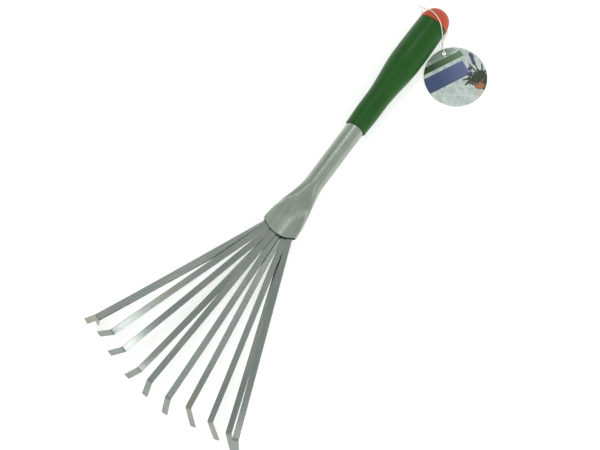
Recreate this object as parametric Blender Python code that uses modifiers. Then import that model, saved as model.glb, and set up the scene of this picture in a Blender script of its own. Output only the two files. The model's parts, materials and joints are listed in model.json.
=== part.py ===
"""A small one-hand fan rake lying on a flat surface, hooks down, with its hang tag.

Metres, +Z up. The tool lies along X: the handle is at +X, the prongs are at -X.
Tool space has its X axis on the centre line of the tube and its origin at the grip's lower end.
"""

import math

import bmesh
import bpy
from mathutils import Matrix, Vector

MM = 0.001

# Where tool space sits above the surface.
GRIP_END_X = 71.0 * MM
CENTRE_LINE_Y = -2.0 * MM
BELLY_RADIUS = 13.1 * MM
CENTRE_LINE_Z = BELLY_RADIUS

# Grip.
GRIP_LENGTH = 110.6 * MM
NECK_RADIUS = 9.75 * MM
NECK_END = 30.0 * MM
BELLY_START = 73.0 * MM
LIP_TAPER = 0.6 * MM
LIP_LENGTH = 18.0 * MM
LIP_CHAMFER = 0.5 * MM
TOP_TAPER = 0.45 * MM
TOP_TAPER_START = 80.0 * MM
GRIP_BORE_RADIUS = 8.0 * MM
GRIP_BORE_LENGTH = 66.0 * MM
GRIP_CAVITY_RADIUS = 10.6 * MM
TURNED_STEPS = 48

# End cap.
CAP_DOME_HEIGHT = 15.0 * MM
CAP_DOME_FULLNESS = 2.15
CAP_SPIGOT_RADIUS = 10.3 * MM
CAP_SPIGOT_LENGTH = 12.0 * MM
CAP_SPIGOT_WALL = 2.0 * MM
HANG_HOLE_RADIUS = 3.5 * MM
HANG_HOLE_X = GRIP_LENGTH + 6.0 * MM

# Socket: a tube that flares and flattens into a crescent-shaped mouth.
TUBE_RADIUS = 7.7 * MM
SHEET = 0.9 * MM
TUBE_TOP_X = 62.0 * MM
FLARE_START_X = -56.0 * MM
CRIMP_START_X = -90.0 * MM
MOUTH_X = -103.7 * MM
MOUTH_BULGE = 4.5 * MM
MOUTH_HALF_WIDTH = 15.2 * MM
MOUTH_HALF_THICKNESS = 3.7 * MM
MOUTH_CAMBER = 4.5 * MM
MOUTH_DROP = 1.5 * MM
MOUTH_END_FULLNESS = 0.25
SOCKET_SIDES = 44

# Prongs.
STRIP_WIDTH = 5.1 * MM
STRIP_THICKNESS = 0.7 * MM
LAYER_PITCH = 1.3 * MM
TANG_LENGTH = 9.0 * MM
FAN_CORNER = 2.5 * MM
SETTLE_POWER = 3.2  # a strip leaves its layer for its own height and tilt late along its length
HOOK_BEND_RADIUS = 2.0 * MM
TIP_CLEARANCE = 0.1 * MM
TANG_STATIONS = 4
BLADE_STATIONS = 16
BEND_STATIONS = 5

# Hang tag.
TAG_RADIUS = 26.0 * MM
TAG_THICKNESS = 0.6 * MM
TAG_HOLE_RADIUS = 1.7 * MM
TAG_HOLE_TO_CENTRE = 22.2 * MM
TAG_HOLE = Vector((171.3, -21.6, 1.75)) * MM
TAG_HEADING = math.radians(238.5)
TAG_SLOPE = math.radians(1.7)

# String: one loop, through the hanging hole and the tag, closed by a knot.
STRING_RADIUS = 0.4 * MM
STRING_POINT_SPACING = 1.8 * MM
STRING_ROUTE = [
    (187.8, 8.5, 22.2), (187.2, 6.1, 23.8), (186.5, 3.2, 25.5), (185.7, 0.1, 26.6),
    (184.6, -2.95, 26.9), (183.2, -6.1, 26.4), (181.3, -9.05, 25.1), (179.3, -11.5, 23.1),
    (177.5, -13.6, 20.4), (176.1, -15.2, 17.3), (175.0, -16.5, 13.1), (173.9, -17.9, 8.8),
    (172.5, -19.6, 5.3), (171.73, -21.0, 3.6), (171.3, -21.6, 2.5), (171.35, -21.55, 1.6),
    (171.7, -21.1, 0.85), (172.2, -20.35, 0.55), (173.2, -18.9, 0.6), (174.2, -17.55, 1.4),
    (175.3, -16.3, 3.0), (176.8, -15.5, 5.3), (179.0, -15.2, 8.0), (181.9, -15.5, 10.6),
    (184.1, -15.6, 12.2), (185.0, -14.1, 12.7), (184.9, -10.5, 12.7), (184.8, -2.0, 12.9),
    (184.8, 6.5, 13.5), (185.1, 10.2, 14.2), (185.9, 11.2, 15.7), (186.8, 10.9, 17.4),
]
KNOT_CENTRE = Vector((187.8, 10.1, 19.9)) * MM
KNOT_RADIUS = 1.2 * MM
KNOT_TAIL_LENGTH = 6.5 * MM
KNOT_TAIL_DIRECTIONS = [Vector((-0.32, 0.94, 0.10)), Vector((-0.08, 0.99, 0.16))]


class Prong:
    """One strip: where it leaves the mouth, where it bends, and how it tilts, lies and hooks."""

    def __init__(
        self, mouth_y, bend, tilt, layer, hook_length=17, hook_angle=60, hook_skew=0, lift=0.0
    ):
        self.mouth_y = mouth_y * MM
        self.bend_x = bend[0] * MM
        self.bend_y = bend[1] * MM
        self.tilt = math.radians(tilt)
        self.layer = layer
        self.hook_length = hook_length * MM
        self.hook_angle = math.radians(hook_angle)
        self.hook_skew = math.radians(hook_skew)
        self.lift = lift * MM


# Millimetres and degrees in tool space, from the +Y side to the -Y side.
# Layers from -1 to 1 are the strip's place in the stack inside the mouth.
PRONGS = [
    Prong(10.8, (-240.9, 71.6), 22, 0, hook_length=16, lift=2.4),
    Prong(9.3, (-240.0, 71.2), 3, -0.8, hook_length=13, hook_angle=80),
    Prong(8.7, (-243.4, 55.8), 34, 1),
    Prong(5.5, (-249.0, 40.5), 32, 0),
    Prong(3.2, (-254.4, 21.3), 26, -1, hook_length=16.5),
    Prong(2.6, (-257.1, 9.6), -3, 1),
    Prong(-0.2, (-259.4, -9.2), -7, 0),
    Prong(-2.35, (-256.9, -25.7), -22, -1, hook_skew=-18),
    Prong(-6.2, (-255.8, -45.3), -26, 0, hook_skew=-12),
    Prong(-8.0, (-254.9, -61.8), -23, -1, hook_length=18),
    Prong(-9.9, (-256.2, -69.2), -10, 1, hook_length=18, lift=2.7),
]


def smoothstep(value, start, end):
    """0 before start, 1 after end, and an S curve between."""
    share = min(max((value - start) / (end - start), 0.0), 1.0)
    return share * share * (3.0 - 2.0 * share)


def material(name, color, roughness, metallic=0.0):
    made = bpy.data.materials.new(name)
    made.use_nodes = True
    shader = made.node_tree.nodes["Principled BSDF"]
    shader.inputs["Base Color"].default_value = (*color, 1.0)
    shader.inputs["Roughness"].default_value = roughness
    shader.inputs["Metallic"].default_value = metallic
    made.diffuse_color = (*color, 1.0)
    return made


def add_object(name, data, finish, collection, parent):
    obj = bpy.data.objects.new(name, data)
    obj.data.materials.append(finish)
    collection.objects.link(obj)
    obj.parent = parent
    return obj


def mesh_from(bm, name, smooth=True):
    """The bmesh as a mesh with its faces turned outwards."""
    bmesh.ops.recalc_face_normals(bm, faces=bm.faces)
    mesh = bpy.data.meshes.new(name)
    bm.to_mesh(mesh)
    bm.free()
    if smooth:
        mesh.shade_smooth()
        mesh.set_sharp_from_angle(angle=math.radians(35))
    return mesh


def turned(name, profile, finish, collection, parent, closed):
    """A profile of (radius, height) turned about local Z, which is laid along tool X."""
    bm = bmesh.new()
    verts = [bm.verts.new((radius, 0.0, height)) for radius, height in profile]
    for first, second in zip(verts, verts[1:]):
        bm.edges.new((first, second))
    if closed:
        bm.edges.new((verts[-1], verts[0]))
    mesh = bpy.data.meshes.new(name)
    bm.to_mesh(mesh)
    bm.free()
    obj = add_object(name, mesh, finish, collection, parent)
    obj.rotation_euler = (0.0, math.pi / 2.0, 0.0)
    screw = obj.modifiers.new("turn", "SCREW")
    screw.steps = TURNED_STEPS
    screw.render_steps = TURNED_STEPS
    screw.use_merge_vertices = True
    screw.merge_threshold = 0.00001
    screw.use_smooth_shade = True
    return obj


def cutter(name, radius, length, location, rotation, collection, parent):
    bm = bmesh.new()
    bmesh.ops.create_cone(
        bm, cap_ends=True, segments=32, radius1=radius, radius2=radius, depth=length
    )
    mesh = mesh_from(bm, name)
    obj = bpy.data.objects.new(name, mesh)
    obj.location = location
    obj.rotation_euler = rotation
    obj.hide_render = True
    obj.display_type = "WIRE"
    collection.objects.link(obj)
    obj.parent = parent
    return obj


def cut(obj, tool, operation="DIFFERENCE"):
    boolean = obj.modifiers.new(tool.name, "BOOLEAN")
    boolean.operation = operation
    boolean.solver = "EXACT"
    boolean.object = tool


def grip_radius(x):
    """The outer radius of the grip at a distance from its lower end."""
    radius = NECK_RADIUS
    radius += (BELLY_RADIUS - NECK_RADIUS) * smoothstep(x, NECK_END, BELLY_START)
    radius -= LIP_TAPER * (1.0 - smoothstep(x, 0.0, LIP_LENGTH))
    radius -= TOP_TAPER * smoothstep(x, TOP_TAPER_START, GRIP_LENGTH)
    return radius


def make_grip(finish, collection, parent):
    stations = 22
    outside = [
        (grip_radius(x), x)
        for x in (GRIP_LENGTH * (1.0 - step / stations) for step in range(stations))
    ]
    lip = [
        (grip_radius(LIP_CHAMFER), LIP_CHAMFER),
        (grip_radius(0.0) - LIP_CHAMFER, 0.0),
    ]
    inside = [
        (GRIP_BORE_RADIUS, 0.0),
        (GRIP_BORE_RADIUS, GRIP_BORE_LENGTH),
        (GRIP_CAVITY_RADIUS, GRIP_BORE_LENGTH + 3.0 * MM),
        (GRIP_CAVITY_RADIUS, GRIP_LENGTH),
    ]
    return turned("grip", outside + lip + inside, finish, collection, parent, closed=True)


def dome_radius(x):
    """The radius of the cap's dome at a place on the tool's X axis."""
    height = min(max((x - GRIP_LENGTH) / CAP_DOME_HEIGHT, 0.0), 1.0)
    return grip_radius(GRIP_LENGTH) * (1.0 - height**CAP_DOME_FULLNESS) ** (1.0 / CAP_DOME_FULLNESS)


def make_end_cap(finish, collection, parent, cutters):
    stations = 14
    shoulder_x = GRIP_LENGTH + 0.3 * MM
    dome = []
    for step in range(stations):
        angle = math.pi / 2.0 * step / stations
        x = GRIP_LENGTH + CAP_DOME_HEIGHT * math.cos(angle)
        dome.append((dome_radius(x), x))
    spigot_end_x = GRIP_LENGTH - CAP_SPIGOT_LENGTH
    hollow_radius = CAP_SPIGOT_RADIUS - CAP_SPIGOT_WALL
    hollow_top_x = GRIP_LENGTH - CAP_SPIGOT_WALL
    profile = dome + [
        (dome_radius(shoulder_x), shoulder_x),
        (CAP_SPIGOT_RADIUS, shoulder_x),
        (CAP_SPIGOT_RADIUS, spigot_end_x),
        (hollow_radius, spigot_end_x),
        (hollow_radius, hollow_top_x),
        (0.0, hollow_top_x),
    ]
    cap = turned("end_cap", profile, finish, collection, parent, closed=False)
    hole = cutter(
        "hanging_hole_cutter",
        HANG_HOLE_RADIUS,
        4.0 * BELLY_RADIUS,
        (HANG_HOLE_X, 0.0, 0.0),
        (math.pi / 2.0, 0.0, 0.0),
        cutters,
        parent,
    )
    cut(cap, hole)
    return cap


def crimp_share(x):
    """0 where the socket is a round tube, 1 where it is pressed flat."""
    return 1.0 - smoothstep(x, CRIMP_START_X, FLARE_START_X)


def flare_half_width(x):
    share = 1.0 - smoothstep(x, MOUTH_X, FLARE_START_X)
    return TUBE_RADIUS + (MOUTH_HALF_WIDTH - TUBE_RADIUS) * share**0.85


def crescent_height(x, y):
    """The height of the socket's middle surface above the centre line."""
    across = y / MOUTH_HALF_WIDTH
    return crimp_share(x) * (MOUTH_CAMBER * across * across - MOUTH_DROP)


def socket_point(x, angle, inset):
    """A point of the socket's wall, inset inwards from its outer face."""
    share = crimp_share(x)
    half_width = flare_half_width(x) - inset
    half_thickness = TUBE_RADIUS + (MOUTH_HALF_THICKNESS - TUBE_RADIUS) * share - inset
    fullness = 1.0 + (MOUTH_END_FULLNESS - 1.0) * share
    y = half_width * math.cos(angle)
    rise = abs(math.sin(angle)) ** fullness
    z = math.copysign(half_thickness * rise, math.sin(angle))
    across = y / half_width
    bulge = MOUTH_BULGE * smoothstep(-x, -FLARE_START_X, -MOUTH_X) * (1.0 - across * across)
    return Vector((x - bulge, y, z + crescent_height(x, y)))


def make_fan_socket(finish, collection, parent):
    """Rings run down the outside of the tube to the mouth, then back up its inside."""
    flare = [FLARE_START_X + (MOUTH_X - FLARE_START_X) * step / 11 for step in range(12)]
    rings_x = [TUBE_TOP_X] + flare
    rings = [(x, 0.0) for x in rings_x] + [(x, SHEET) for x in reversed(rings_x)]
    bm = bmesh.new()
    bmesh.ops.create_grid(bm, x_segments=len(rings), y_segments=SOCKET_SIDES, size=0.5)
    for vert in bm.verts:
        x, inset = rings[round((vert.co.x + 0.5) * len(rings)) % len(rings)]
        angle = 2.0 * math.pi * (vert.co.y + 0.5)
        vert.co = socket_point(x, angle, inset)
    bmesh.ops.remove_doubles(bm, verts=bm.verts, dist=0.000001)
    mesh = mesh_from(bm, "fan_socket")
    return add_object("fan_socket", mesh, finish, collection, parent)


def strip_frame(prong, run):
    """The middle of a strip and its along and across directions, at a run past the mouth."""
    total = MOUTH_X - prong.bend_x
    slope = (prong.bend_y - prong.mouth_y) / total
    past = 0.5 * (run + math.hypot(run, FAN_CORNER))
    inside = 1.0 if run > 0.0 else flare_half_width(MOUTH_X - run) / MOUTH_HALF_WIDTH
    mouth_y = prong.mouth_y * inside
    mouth_z = crescent_height(MOUTH_X, mouth_y) + prong.layer * LAYER_PITCH
    tip_drop = hook_drop(prong) + TIP_CLEARANCE + prong.lift
    bend_z = tip_drop - CENTRE_LINE_Z
    share = min(past / total, 1.0)
    rise = (bend_z - mouth_z) * share**SETTLE_POWER
    middle = Vector((MOUTH_X - run, mouth_y + slope * past, mouth_z + rise))
    mouth_tilt = math.atan(2.0 * MOUTH_CAMBER * mouth_y / MOUTH_HALF_WIDTH**2)
    tilt = mouth_tilt + (prong.tilt - mouth_tilt) * share**SETTLE_POWER
    turn = 0.5 * slope * (1.0 + run / math.hypot(run, FAN_CORNER))
    climb = SETTLE_POWER * (bend_z - mouth_z) * share ** (SETTLE_POWER - 1.0) / total
    along = Vector((-1.0, turn, climb)).normalized()
    level = Vector((-along.y, along.x, 0.0)).normalized() * -1.0
    across = level * math.cos(tilt) + Vector((0.0, 0.0, math.sin(tilt)))
    across = (across - along * across.dot(along)).normalized()
    return middle, along, across


def hook_drop(prong):
    """How far the hook reaches below the middle of the strip at its bend."""
    fall = math.sin(prong.hook_angle) * math.cos(prong.tilt)
    fall -= math.cos(prong.hook_angle) * math.sin(prong.hook_skew) * math.sin(prong.tilt)
    corner = 0.5 * STRIP_WIDTH * math.sin(abs(prong.tilt))
    return prong.hook_length * fall + corner + 0.5 * STRIP_THICKNESS


def strip_stations(prong):
    """(middle, across) pairs along a strip: the tang, the blade, the bend and the hook."""
    total = MOUTH_X - prong.bend_x
    runs = [-TANG_LENGTH + TANG_LENGTH * step / TANG_STATIONS for step in range(TANG_STATIONS)]
    runs += [total * (step / BLADE_STATIONS) ** 1.4 for step in range(BLADE_STATIONS + 1)]
    stations = []
    for run in runs:
        middle, along, across = strip_frame(prong, run)
        stations.append((middle, across))
    down = along.cross(across)
    if down.z > 0.0:
        down.negate()
    along = along * math.cos(prong.hook_skew) + across * math.sin(prong.hook_skew)
    for step in range(1, BEND_STATIONS + 1):
        angle = prong.hook_angle * step / BEND_STATIONS
        forward = along * math.sin(angle) + down * (1.0 - math.cos(angle))
        stations.append((middle + forward * HOOK_BEND_RADIUS, across))
    bend_end = stations[-1][0]
    hook = along * math.cos(prong.hook_angle) + down * math.sin(prong.hook_angle)
    straight = prong.hook_length - HOOK_BEND_RADIUS * math.tan(prong.hook_angle / 2.0)
    stations.append((bend_end + hook * straight, across))
    return stations


def make_prong(number, prong, finish, collection, parent):
    stations = strip_stations(prong)
    last = len(stations) - 1
    bm = bmesh.new()
    bmesh.ops.create_grid(bm, x_segments=last, y_segments=1, size=0.5)
    for vert in bm.verts:
        middle, across = stations[round((vert.co.x + 0.5) * last)]
        vert.co = middle + across * (vert.co.y * STRIP_WIDTH)
    name = f"prong_{number:02d}"
    mesh = mesh_from(bm, name, smooth=False)
    obj = add_object(name, mesh, finish, collection, parent)
    solidify = obj.modifiers.new("thickness", "SOLIDIFY")
    solidify.thickness = STRIP_THICKNESS
    solidify.offset = 0.0
    return obj


def make_hang_tag(finish, collection, cutters):
    """The tag's origin is its hole, where it turns on the string."""
    tag_frame = Matrix.Rotation(TAG_HEADING, 4, "Z") @ Matrix.Rotation(TAG_SLOPE, 4, "Y")
    bm = bmesh.new()
    bmesh.ops.create_cone(
        bm, cap_ends=True, segments=72, radius1=TAG_RADIUS, radius2=TAG_RADIUS, depth=TAG_THICKNESS
    )
    bmesh.ops.translate(bm, verts=bm.verts, vec=(TAG_HOLE_TO_CENTRE, 0.0, 0.0))
    tag = add_object("hang_tag", mesh_from(bm, "hang_tag"), finish, collection, None)
    tag.matrix_world = Matrix.Translation(TAG_HOLE) @ tag_frame
    hole = cutter(
        "tag_hole_cutter",
        TAG_HOLE_RADIUS,
        10.0 * TAG_THICKNESS,
        (0.0, 0.0, 0.0),
        (0.0, 0.0, 0.0),
        cutters,
        tag,
    )
    cut(tag, hole)
    return tag


def smooth_route(points, spacing):
    """Points at an even spacing along a Catmull-Rom curve through the given points."""
    padded = [points[0] * 2.0 - points[1]] + points + [points[-1] * 2.0 - points[-2]]
    fine = []
    for before, start, end, after in zip(padded, padded[1:], padded[2:], padded[3:]):
        for step in range(12):
            t = step / 12
            fine.append(
                0.5
                * (
                    2.0 * start
                    + (end - before) * t
                    + (2.0 * before - 5.0 * start + 4.0 * end - after) * t**2
                    + (3.0 * start - before - 3.0 * end + after) * t**3
                )
            )
    fine.append(points[-1])
    lengths = [0.0]
    for first, second in zip(fine, fine[1:]):
        lengths.append(lengths[-1] + (second - first).length)
    count = round(lengths[-1] / spacing)
    even = []
    index = 0
    for number in range(count + 1):
        target = lengths[-1] * number / count
        while index < len(fine) - 2 and lengths[index + 1] < target:
            index += 1
        share = (target - lengths[index]) / (lengths[index + 1] - lengths[index])
        even.append(fine[index].lerp(fine[index + 1], share))
    return even


def round_wire(name, points, radius):
    """A poly curve with a round section and filled ends."""
    curve = bpy.data.curves.new(name, "CURVE")
    curve.dimensions = "3D"
    curve.bevel_depth = radius
    curve.bevel_resolution = 2
    curve.use_fill_caps = True
    spline = curve.splines.new("POLY")
    spline.points.add(len(points) - 1)
    for point, place in zip(spline.points, points):
        point.co = (*place, 1.0)
    return curve


def make_tag_string(finish, collection):
    route = [Vector(point) * MM for point in STRING_ROUTE]
    points = smooth_route(route, STRING_POINT_SPACING)
    return add_object(
        "tag_string", round_wire("tag_string", points, STRING_RADIUS), finish, collection, None
    )


def make_string_knot(finish, collection, cutters):
    """A round knot with two cut ends standing out of it."""
    bm = bmesh.new()
    bmesh.ops.create_uvsphere(bm, u_segments=16, v_segments=10, radius=KNOT_RADIUS)
    knot = add_object("string_knot", mesh_from(bm, "string_knot"), finish, collection, None)
    knot.location = KNOT_CENTRE
    for number, direction in enumerate(KNOT_TAIL_DIRECTIONS, start=1):
        bm = bmesh.new()
        bmesh.ops.create_cone(
            bm,
            cap_ends=True,
            segments=10,
            radius1=STRING_RADIUS,
            radius2=STRING_RADIUS,
            depth=KNOT_TAIL_LENGTH,
        )
        bmesh.ops.translate(bm, verts=bm.verts, vec=(0.0, 0.0, KNOT_TAIL_LENGTH / 2.0))
        tail = bpy.data.objects.new(f"knot_tail_{number}", mesh_from(bm, f"knot_tail_{number}"))
        tail.location = KNOT_CENTRE
        tail.rotation_euler = direction.to_track_quat("Z", "Y").to_euler()
        tail.hide_render = True
        tail.display_type = "WIRE"
        cutters.objects.link(tail)
        cut(knot, tail, "UNION")
    return knot


def main():
    for obj in list(bpy.data.objects):
        bpy.data.objects.remove(obj)
    parts = bpy.data.collections.new("hand_rake")
    cutters = bpy.data.collections.new("cutters")
    bpy.context.scene.collection.children.link(parts)
    bpy.context.scene.collection.children.link(cutters)
    tool = bpy.data.objects.new("tool_space", None)
    tool.location = (GRIP_END_X, CENTRE_LINE_Y, CENTRE_LINE_Z)
    parts.objects.link(tool)

    green_plastic = material("green_plastic", (0.03, 0.13, 0.04), 0.35)
    red_plastic = material("red_plastic", (0.55, 0.08, 0.04), 0.35)
    socket_steel = material("socket_steel", (0.42, 0.46, 0.42), 0.35, 1.0)
    spring_steel = material("spring_steel", (0.40, 0.44, 0.41), 0.3, 1.0)
    printed_card = material("printed_card", (0.60, 0.66, 0.62), 0.4)
    white_string = material("white_string", (0.80, 0.80, 0.76), 0.7)

    make_grip(green_plastic, parts, tool)
    make_end_cap(red_plastic, parts, tool, cutters)
    make_fan_socket(socket_steel, parts, tool)
    for number, prong in enumerate(PRONGS, start=1):
        make_prong(number, prong, spring_steel, parts, tool)
    make_hang_tag(printed_card, parts, cutters)
    make_tag_string(white_string, parts)
    make_string_knot(white_string, parts, cutters)


main()
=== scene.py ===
"""Looks for a small one-hand fan rake and its hang tag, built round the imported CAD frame.

Metres, +Z up. The tool lies along X with its handle at +X. Tool space has its X axis on the
centre line of the tube and its origin at the grip's lower end.
"""

import json
import math

import bmesh
import bpy
from mathutils import Matrix, Vector

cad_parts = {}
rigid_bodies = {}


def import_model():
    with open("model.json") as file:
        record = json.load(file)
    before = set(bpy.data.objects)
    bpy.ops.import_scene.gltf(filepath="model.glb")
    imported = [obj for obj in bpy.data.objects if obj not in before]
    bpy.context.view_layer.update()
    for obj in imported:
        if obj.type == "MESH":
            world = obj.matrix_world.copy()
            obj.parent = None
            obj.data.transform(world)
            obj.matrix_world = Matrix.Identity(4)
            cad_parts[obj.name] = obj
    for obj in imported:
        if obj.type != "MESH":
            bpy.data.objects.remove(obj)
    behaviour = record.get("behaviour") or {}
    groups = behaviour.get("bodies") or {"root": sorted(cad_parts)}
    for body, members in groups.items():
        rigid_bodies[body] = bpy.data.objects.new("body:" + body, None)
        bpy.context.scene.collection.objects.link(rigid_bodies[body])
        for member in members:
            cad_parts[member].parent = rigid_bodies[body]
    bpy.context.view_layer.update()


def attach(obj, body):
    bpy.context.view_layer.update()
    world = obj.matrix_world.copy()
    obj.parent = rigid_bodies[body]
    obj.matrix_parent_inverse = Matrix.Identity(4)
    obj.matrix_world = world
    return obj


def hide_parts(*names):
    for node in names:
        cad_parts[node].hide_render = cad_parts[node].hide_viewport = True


MM = 0.001

# Camera: a steep view from the prongs' side.
CAMERA_TARGET = Vector((-20.6, -12.9, 13.8)) * MM
CAMERA_AZIMUTH = math.radians(-54.67)
CAMERA_ELEVATION = math.radians(72.0)
CAMERA_DISTANCE = 1.15
CAMERA_LENS = 88.5

# Where tool space sits in the frame.
TOOL_ORIGIN = Vector((71.0, -2.0, 13.1)) * MM

# Grip.
GRIP_LENGTH = 110.6 * MM
NECK_RADIUS = 9.75 * MM
BELLY_RADIUS = 13.1 * MM
NECK_END = 30.0 * MM
BELLY_START = 73.0 * MM
LIP_TAPER = 0.6 * MM
LIP_LENGTH = 18.0 * MM
LIP_ROUND = 0.5 * MM
TOP_TAPER = 0.45 * MM
TOP_TAPER_START = 80.0 * MM
TOP_ROUND = 0.35 * MM
GRIP_BORE_RADIUS = 8.0 * MM
GRIP_BORE_LENGTH = 66.0 * MM
GRIP_CAVITY_RADIUS = 10.6 * MM
GRIP_CAVITY_CONE = 3.0 * MM
GRIP_BORE_CHAMFER = 0.3 * MM
GRIP_STATIONS = 90
TURNED_SIDES = 128
POLE_RADIUS = 0.02 * MM  # the small ring that closes a turned shape on its axis

# End cap.
CAP_DOME_HEIGHT = 15.0 * MM
CAP_DOME_FULLNESS = 2.15
CAP_SHOULDER_GAP = 0.3 * MM
CAP_SPIGOT_RADIUS = 10.3 * MM
CAP_SPIGOT_LENGTH = 12.0 * MM
CAP_SPIGOT_WALL = 2.0 * MM
CAP_SPIGOT_CHAMFER = 0.4 * MM
CAP_STATIONS = 44
HANG_HOLE_RADIUS = 3.5 * MM
HANG_HOLE_FLARE = 0.7 * MM
HANG_HOLE_FLARE_START = 10.6 * MM
HANG_HOLE_FLARE_LENGTH = 2.4 * MM
HANG_CUTTER_REACH = 20.0 * MM
HANG_CUTTER_SPREAD = 3.0 * MM
HANG_HOLE_SIDES = 64
HANG_HOLE_X = GRIP_LENGTH + 6.0 * MM

# Socket.
TUBE_RADIUS = 7.7 * MM
SHEET = 0.9 * MM
TUBE_TOP_X = 62.0 * MM
PLAIN_START_X = 40.0 * MM
FLARE_START_X = -56.0 * MM
FLARE_POWER = 0.85
CRIMP_START_X = -90.0 * MM
MOUTH_X = -103.7 * MM
MOUTH_BULGE = 4.5 * MM
MOUTH_HALF_WIDTH = 15.2 * MM
MOUTH_HALF_THICKNESS = 3.7 * MM
MOUTH_CAMBER = 4.5 * MM
MOUTH_DROP = 1.5 * MM
MOUTH_END_FULLNESS = 0.25
LIP_FOLD = 0.5 * MM  # how far the upper lip is turned down over the strips
LIP_FOLD_START = 1.6 * MM
LIP_FOLD_END = 0.3 * MM
SOCKET_SIDES = 160
SOCKET_CROWDING = 0.42  # draws the sides' points toward the crescent's sharp ends
PLAIN_STATIONS = 8
FLARE_STATIONS = 56

# Prongs.
STRIP_WIDTH = 5.1 * MM
STRIP_THICKNESS = 0.7 * MM
STRIP_EDGE_ROUND = 0.22 * MM
STRIP_FLAT_MARGIN = 0.08 * MM
STRIP_PATTERN_STEP = 0.31  # how far each strip's pattern is shifted from the last one's
LAYER_PITCH = 1.3 * MM
TANG_LENGTH = 9.0 * MM
FAN_CORNER = 2.5 * MM
SETTLE_POWER = 3.2  # a strip leaves its layer for its own height and tilt late along its length
HOOK_BEND_RADIUS = 2.0 * MM
TIP_CLEARANCE = 0.1 * MM
TANG_STATIONS = 4
BLADE_STATIONS = 48
BEND_STATIONS = 10
HOOK_STATIONS = 3

# Hang tag, in its own space: the origin is the hole, X runs to the middle, Z is the printed side.
TAG_RADIUS = 26.0 * MM
TAG_THICKNESS = 0.6 * MM
TAG_EDGE_ROUND = 0.12 * MM
TAG_SIDES = 144
TAG_HOLE_RADIUS = 1.7 * MM
TAG_HOLE_TO_CENTRE = 22.2 * MM
TAG_HOLE = Vector((171.3, -21.6, 1.75)) * MM
TAG_HEADING = math.radians(238.5)
TAG_SLOPE = math.radians(1.7)
TAG_PRINT_TURN = math.radians(5.0)

# String: one loop, through the hanging hole and the tag, closed by a knot.
STRING_DIAMETER = 0.8 * MM
STRING_TWIST_PITCH = 2.6 * MM
STRING_SPACING = 0.22 * MM
THREAD_SIDES = 18
ROUTE_STEPS = 16
STRING_ROUTE = [
    (187.8, 8.5, 22.2), (187.2, 6.1, 23.8), (186.5, 3.2, 25.5), (185.7, 0.1, 26.6),
    (184.6, -2.95, 26.9), (183.2, -6.1, 26.4), (181.3, -9.05, 25.1), (179.3, -11.5, 23.1),
    (177.5, -13.6, 20.4), (176.1, -15.2, 17.3), (175.0, -16.5, 13.1), (173.9, -17.9, 8.8),
    (172.5, -19.6, 5.3), (171.73, -21.0, 3.6), (171.3, -21.6, 2.5), (171.35, -21.55, 1.6),
    (171.7, -21.1, 0.85), (172.2, -20.35, 0.55), (173.2, -18.9, 0.6), (174.2, -17.55, 1.4),
    (175.3, -16.3, 3.0), (176.8, -15.5, 5.3), (179.0, -15.2, 8.0), (181.9, -15.5, 10.6),
    (184.1, -15.6, 12.2), (185.0, -14.1, 12.7), (184.9, -10.5, 12.7), (184.8, -2.0, 12.9),
    (184.8, 6.5, 13.5), (185.1, 10.2, 14.2), (185.9, 11.2, 15.7), (186.8, 10.9, 17.4),
]
KNOT_CENTRE = Vector((187.8, 10.1, 19.9)) * MM
KNOT_SIZE = 0.30 * MM
KNOT_STEPS = 96
KNOT_THREAD_RADIUS = 0.34 * MM
KNOT_TWIST_PITCH = 1.8 * MM
KNOT_TAIL_RADIUS = 0.36 * MM
KNOT_TAIL_LENGTH = 6.4 * MM
KNOT_TAIL_SPACING = 0.2 * MM
KNOT_TAIL_DIRECTIONS = [Vector((-0.32, 0.94, 0.10)), Vector((-0.08, 0.99, 0.16))]
WISP_RADIUS = 0.11 * MM
WISP_LENGTH = 0.5 * MM
WISP_SPREAD = 0.3 * MM

# Floor: a hair below the lowest pieces, so that nothing shares its plane.
FLOOR_HALF_WIDTH = 6.0
FLOOR_GAP = 0.2 * MM


class Prong:
    """One strip: where it leaves the mouth, where it bends, and how it tilts, lies and hooks."""

    def __init__(
        self, mouth_y, bend, tilt, layer, hook_length=17, hook_angle=60, hook_skew=0, lift=0.0
    ):
        self.mouth_y = mouth_y * MM
        self.bend_x = bend[0] * MM
        self.bend_y = bend[1] * MM
        self.tilt = math.radians(tilt)
        self.layer = layer
        self.hook_length = hook_length * MM
        self.hook_angle = math.radians(hook_angle)
        self.hook_skew = math.radians(hook_skew)
        self.lift = lift * MM


# Millimetres and degrees in tool space, from the +Y side to the -Y side.
# Layers from -1 to 1 are the strip's place in the stack inside the mouth.
PRONGS = [
    Prong(10.8, (-240.9, 71.6), 22, 0, hook_length=16, lift=2.4),
    Prong(9.3, (-240.0, 71.2), 3, -0.8, hook_length=13, hook_angle=80),
    Prong(8.7, (-243.4, 55.8), 34, 1),
    Prong(5.5, (-249.0, 40.5), 32, 0),
    Prong(3.2, (-254.4, 21.3), 26, -1, hook_length=16.5),
    Prong(2.6, (-257.1, 9.6), -3, 1),
    Prong(-0.2, (-259.4, -9.2), -7, 0),
    Prong(-2.35, (-256.9, -25.7), -22, -1, hook_skew=-18),
    Prong(-6.2, (-255.8, -45.3), -26, 0, hook_skew=-12),
    Prong(-8.0, (-254.9, -61.8), -23, -1, hook_length=18),
    Prong(-9.9, (-256.2, -69.2), -10, 1, hook_length=18, lift=2.7),
]


def smoothstep(value, start, end):
    """0 before start, 1 after end, and an S curve between."""
    share = min(max((value - start) / (end - start), 0.0), 1.0)
    return share * share * (3.0 - 2.0 * share)


# ---------------------------------------------------------------- materials


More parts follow.
